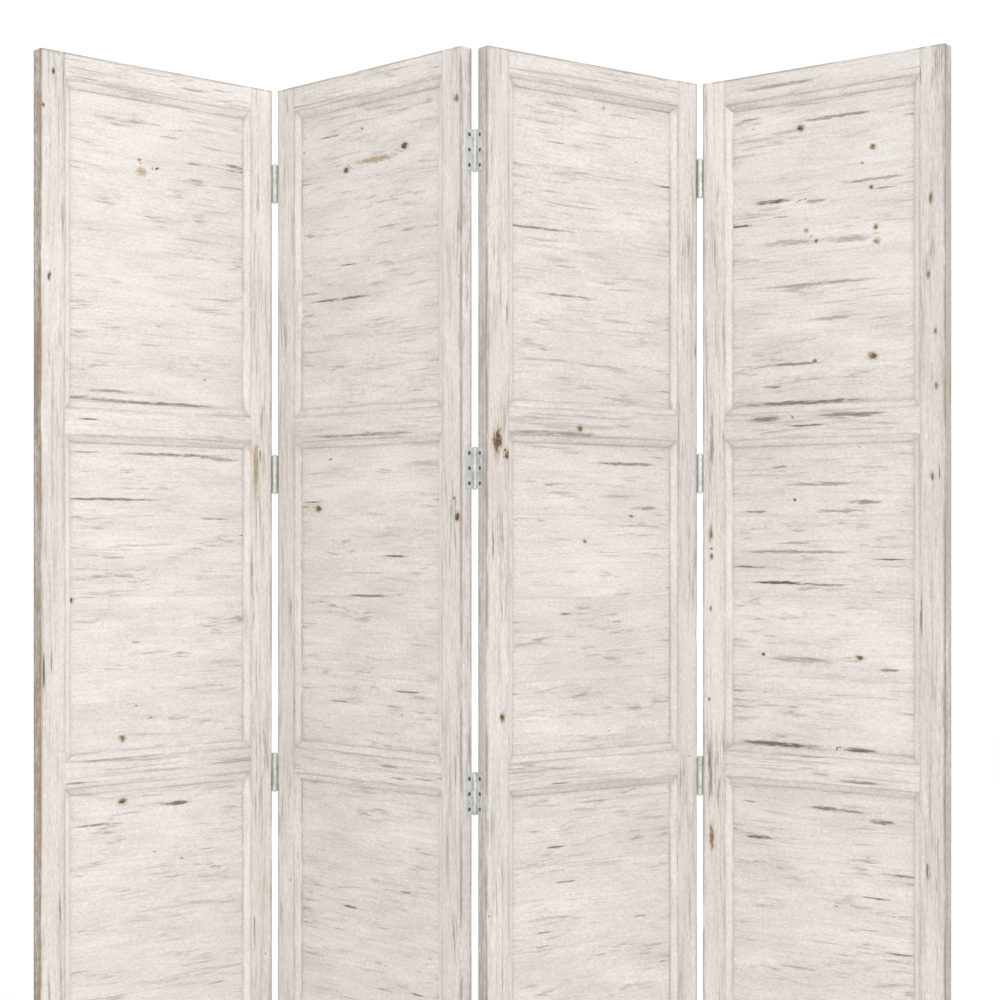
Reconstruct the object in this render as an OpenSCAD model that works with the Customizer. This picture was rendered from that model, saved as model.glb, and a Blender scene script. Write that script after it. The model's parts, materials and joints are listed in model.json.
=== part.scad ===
// Folding room divider: framed and panelled leaves joined by butt hinges,
// standing in a zig-zag. +Z is up, the front of the screen faces -Y, and the
// origin is on the floor under the middle of the standing screen.

/* [Screen] */
// Height of the screen
screen_h = 2134; // [1600:1:2400]
// Width of one leaf
leaf_w = 508; // [380:1:620]
// Thickness of the frame boards
leaf_t = 29; // [24:0.5:40]
// Face width of every stile and rail
board_w = 50; // [42:1:70]
// Height of the stile feet below the bottom rail
foot_h = 104; // [40:1:160]

/* [Panels] */
// Thickness of a panel
panel_t = 9; // [6:0.5:10]
// Depth of the groove that holds a panel
groove_d = 8; // [6:0.5:8]
// Room left for the panel to swell at the bottom of a groove
swell_gap = 1; // [0.5:0.1:2]
// Room between a panel's face and the groove's side
slip_gap = 0.1; // [0.05:0.05:0.3]
// Width of the bead around a panel
bead_w = 14; // [8:0.5:18]
// Height of the bead's outer edge above the panel
bead_h = 9; // [6:0.5:9.5]
// Height of the bead's inner edge above the panel
bead_edge_h = 2; // [1:0.5:3]
// How far the bead's sloping face bows out
bead_bow = 1; // [0.5:0.1:1.5]
// Room left at each end of a bead, in its mitre
mitre_gap = 0.05; // [0.02:0.01:0.5]

/* [Dowels] */
// Radius of a dowel
dowel_r = 5; // [3:0.5:5]
// Length of a dowel
dowel_l = 50; // [30:1:56]
// Distance of each dowel from the middle of its rail
dowel_off = 11; // [8:0.5:11]
// Radial room round a dowel, for glue
glue_gap = 0.05; // [0.02:0.01:0.1]

/* [Hinges] */
// Heights of the hinge centres above the floor
hinge_z = [188, 760, 1360, 1946]; // [100:1:2300]
// Length of a hinge along its pin
hinge_l = 76; // [60:1:90]
// Width of a hinge plate on the edge of a leaf
plate_w = 16; // [12:0.5:20]
// Thickness of a hinge plate
plate_t = 2; // [1.2:0.1:2.2]
// Gap between the edges of two leaves that stand in line
edge_gap = 6; // [5.6:0.1:8]
// Distance of the pin's axis outside the face of a leaf
pin_out = 5; // [4.8:0.1:6]
// Outer radius of a knuckle
knuckle_r = 4.5; // [3.8:0.1:4.6]
// Radius of a hinge pin
pin_r = 2.5; // [1.5:0.1:2.8]
// Radial clearance of a pin in its knuckles
pin_gap = 0.05; // [0.02:0.01:0.1]
// Gap between neighbouring knuckles
knuckle_gap = 0.2; // [0.1:0.05:0.5]

/* [Screws] */
// Distance between the screws of a plate
screw_pitch = 28; // [20:0.5:32]
// Distance of the screws from the face on the pin's side
screw_in = 9; // [6:0.5:12]
// Radius of a screw's shank
shank_r = 1.9; // [1.2:0.1:2.2]
// Radius of a screw's countersunk head
head_r = 3.8; // [3:0.1:4.2]
// Length of a screw with its head
screw_l = 20; // [12:1:22]
// Room round a screw
screw_gap = 0.05; // [0.02:0.01:0.1]

/* [Standing pose] */
// Turn of the first leaf from the plane of the screen
turn_1 = 40.3; // [5:0.1:80]
// Turn of the second leaf, the other way
turn_2 = 42.3; // [5:0.1:80]
// Turn of the third leaf
turn_3 = 34.7; // [5:0.1:80]
// Turn of the fourth leaf, the other way
turn_4 = 36.6; // [5:0.1:80]

/* [Hidden] */
turns = [turn_1, -turn_2, turn_3, -turn_4];
leaf_count = len(turns);
fold_count = leaf_count - 1;
opening_names = ["lower", "middle", "upper"];
rail_names = ["bottom_rail", "lower_mid_rail", "upper_mid_rail", "top_rail"];
opening_count = len(opening_names);
rail_count = len(rail_names);
opening_w = leaf_w - 2 * board_w;
opening_h = (screen_h - foot_h - rail_count * board_w) / opening_count;
pitch_h = opening_h + board_w;
groove_w = panel_t + 2 * slip_gap;
tongue = groove_d - swell_gap;
panel_y = (leaf_t - panel_t) / 2;
knuckle_count = 5;
knuckle_l = (hinge_l - (knuckle_count - 1) * knuckle_gap) / knuckle_count;
swing_gap = 0.4;
screw_count = 3;
head_h = plate_t;
pin_head_r = 3.6;
pin_head_h = 1.5;
recess_w = 0.9;
recess_d = 0.8;
over = 1;
$fn = 48;

// Colours
wood_colour = [0.90, 0.87, 0.84];
panel_colour = [0.87, 0.84, 0.81];
bead_colour = [0.94, 0.91, 0.88];
dowel_colour = [0.80, 0.66, 0.45];
zinc_colour = [0.66, 0.68, 0.64];
steel_colour = [0.45, 0.46, 0.45];

// Names
function leaf_node(n, piece) = str("leaf_", n + 1, "_", piece);
function fold_node(k, piece) = str("fold_", k + 1, "_", piece);
leaf_pieces = concat(
    ["left_stile", "right_stile", "panel_beads", "dowels"],
    rail_names,
    [for (name = opening_names) str(name, "_panel")]
);
fold_pieces = [
    "left_hinge_plates", "right_hinge_plates", "hinge_pins",
    "left_screws", "right_screws"
];

// Plan of the standing screen. Pins are in front of the leaves at the first
// and third folds and behind them at the second, so that the leaves zig-zag.
function turned(v, a) = [v.x * cos(a) - v.y * sin(a), v.x * sin(a) + v.y * cos(a)];
function pin_behind(k) = k % 2 == 1;
function pin_y(k) = pin_behind(k) ? leaf_t + pin_out : -pin_out;
function pin_at(k) = leaf_at(k) + turned([leaf_w + edge_gap / 2, pin_y(k)], turns[k]);
function leaf_at(n) = n == 0 ? [0, 0]
    : pin_at(n - 1) - turned([-edge_gap / 2, pin_y(n - 1)], turns[n]);
leaf_corners = [
    for (n = [0 : leaf_count - 1]) for (x = [0, leaf_w]) for (y = [0, leaf_t])
        leaf_at(n) + turned([x, y], turns[n])
];
knuckle_sides = [
    for (k = [0 : fold_count - 1]) for (s = [-1, 1])
        pin_at(k) + s * [knuckle_r, knuckle_r]
];
plan_points = concat(leaf_corners, knuckle_sides);
plan_xs = [for (p = plan_points) p.x];
plan_ys = [for (p = plan_points) p.y];
plan_middle = [min(plan_xs) + max(plan_xs), min(plan_ys) + max(plan_ys)] / 2;

// Places its children, made with their front left foot at the origin, on leaf n.
module on_leaf(n) {
    place = leaf_at(n) - plan_middle;
    translate([place.x, place.y, 0])
        rotate([0, 0, turns[n]])
            children();
}

// Places its children on the left or right edge of fold k. The children are
// made for a leaf that ends at x = 0 with its pin in front of it.
module on_fold(k, left) {
    n = left ? k : k + 1;
    on_leaf(n)
        translate([left ? leaf_w : 0, pin_behind(k) ? leaf_t : 0, 0])
            mirror([left ? 0 : 1, 0, 0])
                mirror([0, pin_behind(k) ? 1 : 0, 0])
                    children();
}

// Lower end of opening i and of rail i.
function opening_z(i) = foot_h + board_w + i * pitch_h;
function rail_z(i) = foot_h + i * pitch_h;

// Height of screw s of the hinge at height z.
function screw_z(z, s) = z + (s - (screw_count - 1) / 2) * screw_pitch;

// Round bar along X from the origin.
module bar_x(r, l) {
    rotate([0, 90, 0])
        cylinder(r = r, h = l);
}

// The two dowel holes, or the two dowels, of the joint at rail i, along X.
module dowel_pair(i, r, l) {
    for (s = [-1, 1])
        translate([0, leaf_t / 2, rail_z(i) + board_w / 2 + s * dowel_off])
            bar_x(r, l);
}

// Holes for the hinge screws of fold k, for a leaf that ends at x = 0.
module pilot_holes() {
    for (z = hinge_z)
        for (s = [0 : screw_count - 1])
            translate([-screw_l, screw_in, screw_z(z, s)])
                bar_x(shank_r + screw_gap, screw_l + over);
}

// Stile with its outer edge at x = 0, growing in +X.
module stile_blank() {
    depth = dowel_l / 2 + over;
    difference() {
        cube([board_w, leaf_t, screen_h]);
        for (i = [0 : opening_count - 1])
            translate([board_w - groove_d, (leaf_t - groove_w) / 2, opening_z(i) - groove_d])
                cube([groove_d + over, groove_w, opening_h + 2 * groove_d]);
        for (i = [0 : rail_count - 1])
            translate([board_w - depth, 0, 0])
                dowel_pair(i, dowel_r + glue_gap, depth + over);
    }
}

module left_stile(n) {
    color(wood_colour)
        difference() {
            on_leaf(n)
                stile_blank();
            if (n > 0)
                on_fold(n - 1, false)
                    pilot_holes();
        }
}

module right_stile(n) {
    color(wood_colour)
        difference() {
            on_leaf(n)
                translate([leaf_w, 0, 0])
                    mirror([1, 0, 0])
                        stile_blank();
            if (n < leaf_count - 1)
                on_fold(n, true)
                    pilot_holes();
        }
}

module rail(n, i) {
    depth = dowel_l / 2 + over;
    color(wood_colour)
        on_leaf(n)
            difference() {
                translate([board_w, 0, rail_z(i)])
                    cube([opening_w, leaf_t, board_w]);
                if (i > 0)
                    translate([board_w - over, (leaf_t - groove_w) / 2, rail_z(i) - over])
                        cube([opening_w + 2 * over, groove_w, groove_d + over]);
                if (i < rail_count - 1)
                    translate([board_w - over, (leaf_t - groove_w) / 2,
                               rail_z(i) + board_w - groove_d])
                        cube([opening_w + 2 * over, groove_w, groove_d + over]);
                for (x = [board_w - over, leaf_w - board_w - depth])
                    translate([x, 0, 0])
                        dowel_pair(i, dowel_r + glue_gap, depth + over);
            }
}

module panel(n, i) {
    color(panel_colour)
        on_leaf(n)
            translate([board_w - tongue, panel_y, opening_z(i) - tongue])
                cube([opening_w + 2 * tongue, panel_t, opening_h + 2 * tongue]);
}

// Section of the bead: flat underneath, nearly flush with the frame at its outer
// edge, and sloping down to the panel with a slight bow.
module bead_section() {
    fall = bead_h - bead_edge_h;
    slope_l = sqrt(pow(bead_w, 2) + pow(fall, 2));
    bow_r = (pow(slope_l / 2, 2) + pow(bead_bow, 2)) / (2 * bead_bow);
    back = (bow_r - bead_bow) / slope_l;
    intersection() {
        square([bead_w, bead_h + 1]);
        translate([bead_w / 2 - back * fall, (bead_h + bead_edge_h) / 2 - back * bead_w])
            circle(r = bow_r);
    }
}

// Bead strip along X from the origin, mitred at both ends, with its outer
// edge at z = 0 and its sloping face towards -Y.
module bead_strip(l) {
    intersection() {
        rotate([90, 0, 90])
            linear_extrude(height = l)
                rotate(90)
                    bead_section();
        rotate([90, 0, 0])
            translate([0, 0, -over])
                linear_extrude(height = bead_h + 2 * over)
                    polygon([
                        [mitre_gap, 0],
                        [l - mitre_gap, 0],
                        [l - mitre_gap - bead_w, bead_w],
                        [mitre_gap + bead_w, bead_w]
                    ]);
    }
}

// Four mitred strips round an opening, lying on the panel's front face.
module bead_ring(i) {
    for (quarter = [0 : 3]) {
        upright = quarter % 2 == 1;
        reach = (upright ? opening_w : opening_h) / 2;
        l = upright ? opening_h : opening_w;
        translate([leaf_w / 2, panel_y, opening_z(i) + opening_h / 2])
            rotate([0, quarter * 90, 0])
                translate([-l / 2, 0, -reach])
                    bead_strip(l);
    }
}

module panel_beads(n) {
    color(bead_colour)
        on_leaf(n)
            for (i = [0 : opening_count - 1]) {
                bead_ring(i);
                translate([0, leaf_t, 0])
                    mirror([0, 1, 0])
                        bead_ring(i);
            }
}

module dowels(n) {
    color(dowel_colour)
        on_leaf(n)
            for (i = [0 : rail_count - 1])
                for (x = [board_w, leaf_w - board_w])
                    translate([x - dowel_l / 2, 0, 0])
                        dowel_pair(i, dowel_r, dowel_l);
}

// Lower end of knuckle j of a hinge whose middle is at z = 0.
function knuckle_z(j) = -hinge_l / 2 + j * (knuckle_l + knuckle_gap);

// Hinge plate for a leaf that ends at x = 0, with its own knuckles on the pin's
// axis. The outer plate has knuckles 0, 2 and 4, and the inner one 1 and 3.
module hinge_plate(outer) {
    first = outer ? 0 : 1;
    difference() {
        union() {
            translate([0, -pin_out, -hinge_l / 2])
                cube([plate_t, pin_out + plate_w, hinge_l]);
            for (j = [first : 2 : knuckle_count - 1])
                translate([edge_gap / 2, -pin_out, knuckle_z(j)])
                    cylinder(r = knuckle_r, h = knuckle_l);
        }
        for (j = [1 - first : 2 : knuckle_count - 1])
            translate([edge_gap / 2, -pin_out, knuckle_z(j) - knuckle_gap])
                cylinder(r = knuckle_r + swing_gap, h = knuckle_l + 2 * knuckle_gap);
        translate([edge_gap / 2, -pin_out, -hinge_l / 2 - over])
            cylinder(r = pin_r + pin_gap, h = hinge_l + 2 * over);
        for (s = [0 : screw_count - 1])
            translate([0, screw_in, screw_z(0, s)])
                rotate([0, 90, 0]) {
                    translate([0, 0, -over])
                        cylinder(r = shank_r + screw_gap, h = plate_t + 2 * over);
                    cylinder(r1 = shank_r + screw_gap, r2 = head_r + screw_gap, h = head_h);
                }
    }
}

module hinge_plates(k, left) {
    color(zinc_colour)
        on_fold(k, left)
            for (z = hinge_z)
                translate([0, 0, z])
                    hinge_plate(left);
}

// Countersunk screw with a cross recess. Its head is flush with the plate.
module screw() {
    rotate([0, 90, 0])
        difference() {
            union() {
                translate([0, 0, plate_t - screw_l])
                    cylinder(r = shank_r, h = screw_l - head_h);
                translate([0, 0, plate_t - head_h])
                    cylinder(r1 = shank_r, r2 = head_r, h = head_h);
            }
            for (a = [0, 90])
                rotate([0, 0, a])
                    translate([-head_r / 2, -recess_w / 2, plate_t - recess_d])
                        cube([head_r, recess_w, recess_d + over]);
        }
}

module hinge_screws(k, left) {
    color(steel_colour)
        on_fold(k, left)
            for (z = hinge_z)
                for (s = [0 : screw_count - 1])
                    translate([0, screw_in, screw_z(z, s)])
                        screw();
}

// Hinge pins with a button head at each end.
module hinge_pins(k) {
    color(zinc_colour)
        on_fold(k, true)
            for (z = hinge_z)
                translate([edge_gap / 2, -pin_out, z]) {
                    translate([0, 0, -hinge_l / 2])
                        cylinder(r = pin_r, h = hinge_l);
                    for (z_head = [-hinge_l / 2 - pin_head_h, hinge_l / 2])
                        translate([0, 0, z_head])
                            cylinder(r = pin_head_r, h = pin_head_h);
                }
}

for (n = [0 : leaf_count - 1]) {
    left_stile(n);
    right_stile(n);
    panel_beads(n);
    dowels(n);
    for (i = [0 : rail_count - 1])
        rail(n, i);
    for (i = [0 : opening_count - 1])
        panel(n, i);
}
for (k = [0 : fold_count - 1]) {
    hinge_plates(k, true);
    hinge_plates(k, false);
    hinge_pins(k);
    hinge_screws(k, true);
    hinge_screws(k, false);
}
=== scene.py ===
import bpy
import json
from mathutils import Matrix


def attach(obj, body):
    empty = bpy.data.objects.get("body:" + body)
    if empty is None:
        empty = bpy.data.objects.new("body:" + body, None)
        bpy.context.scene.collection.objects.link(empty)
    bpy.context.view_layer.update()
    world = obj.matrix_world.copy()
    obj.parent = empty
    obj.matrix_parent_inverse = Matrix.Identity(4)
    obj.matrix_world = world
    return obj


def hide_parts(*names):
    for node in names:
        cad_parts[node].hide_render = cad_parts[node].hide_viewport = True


bl_info = {
    "name": "Folding Room Divider",
    "version": (1, 0, 0),
    "blender": (4, 5, 0),
    "location": "3D View > Sidebar > Divider",
    "description": "Builds the boards, beads, hinges and stage of a limewashed pine folding screen",
    "category": "Object",
}

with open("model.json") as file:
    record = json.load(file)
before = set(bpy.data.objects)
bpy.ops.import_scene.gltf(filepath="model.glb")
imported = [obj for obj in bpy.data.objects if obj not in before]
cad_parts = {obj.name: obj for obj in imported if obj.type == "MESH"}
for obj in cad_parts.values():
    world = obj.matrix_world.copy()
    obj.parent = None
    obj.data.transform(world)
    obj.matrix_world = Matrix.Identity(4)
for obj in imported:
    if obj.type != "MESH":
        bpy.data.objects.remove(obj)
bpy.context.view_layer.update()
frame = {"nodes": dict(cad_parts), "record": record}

import json
import math

import bmesh
import bpy
import numpy as np
from bpy.props import FloatProperty, FloatVectorProperty, IntProperty, PointerProperty
from mathutils import Matrix, Vector

MM = 0.001
LEAVES = (1, 2, 3, 4)
FOLDS = (1, 2, 3)
RAILS = ("bottom_rail", "lower_mid_rail", "upper_mid_rail", "top_rail")
PANELS = ("lower_panel", "middle_panel", "upper_panel")
MOUNTS = {mount["name"]: np.array(mount["pos_m"]) for mount in frame["record"]["mounts"]}

# Axes of a leaf: along it from left to right, away from its front, and up.
ALONG, AWAY, UP = 0, 1, 2
# How far a panel's tongue reaches into the groove of its frame.
TONGUE = 7 * MM

# Large knots on each leaf's front: metres from the leaf's left edge and above the
# floor, radius in millimetres, how far the knot is drawn out along the grain, and how
# dark it is, which is 1 where it isn't given. Pale ones are resin.
KNOTS = {
    1: [(0.212, 1.957, 3, 1.4, 0.6), (0.216, 1.935, 8, 1.3, 0.0), (0.250, 1.945, 3, 1.5),
        (0.470, 1.370, 6, 9.0, 0.3),
        (0.340, 1.485, 5, 1.3), (0.065, 1.115, 5, 1.6), (0.175, 0.850, 6, 1.2),
        (0.175, 0.730, 7, 1.4), (0.005, 2.030, 4, 1.3), (0.026, 2.095, 4, 1.5),
        (0.018, 1.715, 4, 2.0)],
    2: [(0.190, 1.950, 6, 1.3), (0.270, 1.960, 5, 9.0, 0.2), (0.350, 1.975, 7, 1.3),
        (0.110, 1.290, 7, 1.5), (0.498, 1.270, 6, 1.6), (0.490, 1.305, 3, 1.3),
        (0.495, 2.040, 6, 1.3)],
    3: [(0.024, 1.410, 11, 2.2), (0.046, 1.385, 6, 1.4), (0.215, 1.440, 6, 1.3),
        (0.235, 1.225, 4, 1.2), (0.035, 0.900, 6, 1.5)],
    4: [(0.210, 2.020, 7, 1.2), (0.360, 1.965, 5, 1.2), (0.358, 1.890, 4, 1.2),
        (0.243, 1.800, 4, 1.2), (0.333, 1.005, 6, 1.3), (0.130, 1.005, 3, 1.2),
        (0.198, 1.305, 3, 1.2), (0.020, 1.195, 4, 1.6), (0.020, 0.640, 6, 4.0, 0.7),
        (0.018, 1.092, 3, 1.8, 0.8), (0.015, 0.912, 3, 1.4, 0.8), (0.018, 1.240, 5, 3.0, 0.6),
        (0.366, 1.815, 5, 1.2), (0.368, 1.788, 6, 1.2, 0.6), (0.223, 1.822, 4, 1.2, 0.5),
        (0.241, 1.571, 4, 1.2), (0.360, 1.573, 7, 1.4), (0.480, 1.855, 4, 2.5, 0.8),
        (0.474, 1.715, 4, 2.0, 0.6), (0.488, 1.610, 4, 1.5, 0.7), (0.490, 1.510, 4, 1.5, 0.6),
        (0.482, 1.345, 4, 2.0, 0.7)],
}
# Large checks (open splits) on each leaf's front: the same places, the length and
# width of the split in millimetres, and how dark it is.
CHECKS = {
    1: [(0.140, 1.510, 70, 5, 0.5), (0.285, 1.393, 190, 5, 0.6), (0.150, 1.305, 170, 4, 0.7),
        (0.400, 1.387, 60, 4, 0.5), (0.380, 1.270, 60, 4, 0.5), (0.255, 1.491, 220, 5, 0.6),
        (0.090, 1.495, 110, 4, 0.5), (0.290, 0.716, 60, 6, 0.8), (0.110, 0.690, 60, 4, 0.6)],
    2: [(0.250, 1.430, 240, 5, 0.5), (0.170, 1.700, 150, 4, 0.7), (0.250, 1.120, 100, 4, 0.6)],
    3: [(0.110, 1.812, 170, 4, 0.6), (0.330, 1.375, 140, 5, 0.6), (0.380, 1.290, 60, 5, 0.5),
        (0.190, 1.690, 120, 4, 0.5), (0.150, 1.428, 200, 6, 0.5)],
    4: [(0.285, 2.033, 130, 5, 0.6), (0.150, 1.885, 65, 7, 0.8), (0.160, 1.145, 90, 5, 0.9),
        (0.265, 1.142, 70, 4, 0.6), (0.165, 0.832, 150, 8, 0.8), (0.335, 0.831, 60, 7, 0.8),
        (0.215, 1.492, 230, 7, 0.7), (0.120, 0.648, 50, 6, 0.8), (0.260, 0.716, 50, 7, 0.7),
        (0.380, 0.700, 45, 7, 0.7), (0.341, 0.772, 80, 5, 0.6), (0.020, 1.430, 110, 6, 0.5),
        (0.016, 0.772, 110, 6, 0.5), (0.474, 0.620, 30, 6, 0.8), (0.170, 2.107, 130, 6, 0.5),
        (0.360, 1.905, 110, 5, 0.5), (0.245, 1.877, 40, 6, 0.5), (0.180, 1.803, 100, 9, 0.35),
        (0.310, 1.797, 80, 9, 0.35), (0.250, 1.718, 220, 5, 0.45), (0.270, 1.650, 80, 6, 0.4),
        (0.200, 1.567, 90, 5, 0.6), (0.150, 1.525, 30, 5, 0.6), (0.140, 1.463, 60, 9, 0.6),
        (0.320, 1.465, 130, 8, 0.6), (0.165, 1.369, 35, 5, 0.5), (0.250, 1.335, 130, 5, 0.45),
        (0.115, 1.283, 40, 6, 0.6), (0.345, 1.300, 60, 7, 0.6), (0.295, 1.283, 90, 6, 0.45),
        (0.200, 1.205, 200, 5, 0.5), (0.195, 1.222, 60, 5, 0.4), (0.210, 0.997, 120, 9, 0.35),
        (0.395, 0.985, 35, 5, 0.6)],
}
# How far each leaf's left and right edges are painted towards bare wood, from 0 to 1, for wear and for
# painted shade on these edges.
SIDE_WEAR_AND_SHADE = {1: (1.0, 0.1), 2: (0.1, 0.03), 3: (0.15, 0.1), 4: (0.1, 0.5)}
# How much thicker than usual each leaf was washed, and what single stiles add to that.
LEAF_WASH = {1: 0.2, 2: -0.4, 3: -0.9, 4: -0.25}
STILE_WASH = {"leaf_1_left_stile": -0.4, "leaf_1_right_stile": 0.4, "leaf_2_left_stile": 0.4,
              "leaf_2_right_stile": -0.1, "leaf_4_left_stile": 0.5, "leaf_4_right_stile": -0.8}


# ---------------------------------------------------------------- sizes and colours

class DividerTimber(bpy.types.PropertyGroup):
    """Shape of the boards."""
    outer_arris: FloatProperty(name="Outer arris", description="Radius of a leaf's worn outer arris",
                               default=1.8 * MM, unit="LENGTH")
    inner_arris: FloatProperty(name="Inner arris", description="Radius of the arris at an opening",
                               default=0.4 * MM, unit="LENGTH")
    along_step: FloatProperty(name="Step along", description="Mesh step along a frame board",
                              default=8 * MM, unit="LENGTH")
    across_step: FloatProperty(name="Step across", description="Mesh step across a frame board",
                               default=2.5 * MM, unit="LENGTH")
    panel_along_step: FloatProperty(name="Panel step along", description="Mesh step along a panel",
                                    default=6 * MM, unit="LENGTH")
    panel_across_step: FloatProperty(name="Panel step across", description="Mesh step across a panel",
                                     default=2 * MM, unit="LENGTH")
    groove_depth: FloatProperty(name="Groove depth", description="Depth of a panel groove",
                                default=8 * MM, unit="LENGTH")
    groove_width: FloatProperty(name="Groove width", description="Width of a panel groove",
                                default=9.2 * MM, unit="LENGTH")
    panel_boards: IntProperty(name="Panel boards", description="Boards glued up to one panel",
                              default=4)
    seam: FloatProperty(name="Seam", description="Half the width of a glue line in a panel",
                        default=0.4 * MM, unit="LENGTH")
    ripple: FloatProperty(name="Ripple", description="Depth that brushing leaves between the rings",
                          default=0.45 * MM, unit="LENGTH")
    split: FloatProperty(name="Split", description="Depth of a check or a knot's pit",
                         default=1.6 * MM, unit="LENGTH")
    bead_width: FloatProperty(name="Bead width", description="Width of the bead round a panel",
                              default=14 * MM, unit="LENGTH")
    bead_height: FloatProperty(name="Bead height", description="Height of the bead's outer edge",
                               default=9 * MM, unit="LENGTH")
    bead_edge: FloatProperty(name="Bead edge", description="Height of the bead's inner edge",
                             default=2 * MM, unit="LENGTH")
    bead_bow: FloatProperty(name="Bead bow", description="How far the bead's slope bows out",
                            default=1.1 * MM, unit="LENGTH")


class DividerFinish(bpy.types.PropertyGroup):
    """Colours of the wash, the wood and the metal."""
    wash: FloatVectorProperty(name="Wash", description="Thick limewash", subtype="COLOR",
                              default=(0.86, 0.815, 0.775))
    thin_wash: FloatVectorProperty(name="Thin wash", description="Limewash rubbed thin",
                                   subtype="COLOR", default=(0.715, 0.668, 0.630))
    # Wood colour, which also lays painted shade in the corners by the openings and beads.
    wood_and_shade: FloatVectorProperty(name="Wood", description="Weathered wood under the wash",
                              subtype="COLOR", default=(0.27, 0.235, 0.205))
    # Bare wood colour, which side also lays as painted shade on the leaves' narrow edges and the beads'
    # ledge and underside strips.
    bare_and_shade: FloatVectorProperty(name="Bare wood", description="Bare wood on rubbed arrises",
                              subtype="COLOR", default=(0.32, 0.235, 0.175))
    check: FloatVectorProperty(name="Check", description="Inside of a check", subtype="COLOR",
                               default=(0.075, 0.050, 0.034))
    knot: FloatVectorProperty(name="Knot", description="Resinous wood of a knot", subtype="COLOR",
                              default=(0.45, 0.32, 0.165))
    zinc: FloatVectorProperty(name="Zinc", description="Dull zinc of the hinges", subtype="COLOR",
                              default=(0.80, 0.82, 0.80))
    steel: FloatVectorProperty(name="Steel", description="Steel of the screws", subtype="COLOR",
                               default=(0.21, 0.21, 0.205))
    dowel: FloatVectorProperty(name="Dowel", description="Bare beech of the dowels",
                               subtype="COLOR", default=(0.60, 0.42, 0.25))


class DividerHinge(bpy.types.PropertyGroup):
    """Sizes of the hinges' plates and screws."""
    plate_thickness: FloatProperty(name="Plate thickness", description="Thickness of a plate",
                                   default=2 * MM, unit="LENGTH")
    screw_pitch: FloatProperty(name="Screw pitch", description="Distance between screws",
                               default=28 * MM, unit="LENGTH")
    head_radius: FloatProperty(name="Head radius", description="Radius of a screw's head",
                               default=3.8 * MM, unit="LENGTH")
    shank_radius: FloatProperty(name="Shank radius", description="Radius of a screw's shank",
                                default=1.9 * MM, unit="LENGTH")
    screw_length: FloatProperty(name="Screw length", description="Length of a screw",
                                default=20 * MM, unit="LENGTH")
    bevel: FloatProperty(name="Bevel", description="Softening of the metal's edges",
                         default=0.2 * MM, unit="LENGTH")


class DividerStage(bpy.types.PropertyGroup):
    """Camera, floor and light."""
    camera_distance: FloatProperty(name="Camera distance", description="From the screen's middle",
                                   default=3.564, unit="LENGTH")
    camera_height: FloatProperty(name="Camera height", description="Height above the floor",
                                 default=1.224, unit="LENGTH")
    lens: FloatProperty(name="Lens", description="Focal length in millimetres", default=66.6)
    shift_x: FloatProperty(name="Shift X", description="Sideways shift of the lens",
                           default=0.0095)
    shift_y: FloatProperty(name="Shift Y", description="Upward shift of the lens", default=0.042)
    floor_size: FloatProperty(name="Floor size", description="Side of the square floor",
                              default=16.0, unit="LENGTH")
    floor: FloatVectorProperty(name="Floor colour", description="Pale floor", subtype="COLOR",
                               default=(0.98, 0.98, 0.98))
    world: FloatProperty(name="World", description="Strength of the light from all round",
                         default=1.03)


# ---------------------------------------------------------------- frame helpers

class LeafFrame:
    """Turns a leaf's own coordinates (along, away, up) into the screen's and back."""

    def __init__(self, leaf):
        left = MOUNTS[f"leaf_{leaf}_left_foot"]
        right = MOUNTS[f"leaf_{leaf}_right_foot"]
        along = (right - left) / np.linalg.norm(right - left)
        self.axes = np.array([along, (-along[1], along[0], 0.0), (0.0, 0.0, 1.0)])
        self.origin = np.zeros(3)
        low, _ = self.box(f"leaf_{leaf}_left_stile")
        self.origin = low @ self.axes

    def place(self, points):
        return self.origin + points @ self.axes

    def turn(self, vectors):
        return vectors @ self.axes

    def locate(self, points):
        return (points - self.origin) @ self.axes.T

    def box(self, node):
        """Lowest and highest corner of a CAD node in the leaf's coordinates."""
        mesh = frame["nodes"][node].data
        points = np.empty(len(mesh.vertices) * 3)
        mesh.vertices.foreach_get("co", points)
        local = self.locate(points.reshape(-1, 3))
        return local.min(0), local.max(0)


def hinge_heights(fold):
    """Heights of the middles of a fold's hinges, from its pins.

    A gap between two vertices larger than apart is one between two hinges.
    """
    apart = 0.1
    mesh = frame["nodes"][f"fold_{fold}_hinge_pins"].data
    heights = sorted({round(vertex.co.z, 4) for vertex in mesh.vertices})
    groups = [[heights[0]]]
    for height in heights[1:]:
        if height - groups[-1][-1] > apart:
            groups.append([])
        groups[-1].append(height)
    return [(group[0] + group[-1]) / 2 for group in groups]


def spaced(start, end, step):
    """Values from start to end, both included, about a step apart."""
    count = max(1, round(abs(end - start) / step))
    return list(np.linspace(start, end, count + 1))


def smooth_step(value, low, high):
    """0 below low, 1 above high and smooth between."""
    share = np.clip((value - low) / (high - low), 0, 1)
    return share * share * (3 - 2 * share)


# ---------------------------------------------------------------- boards

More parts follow.
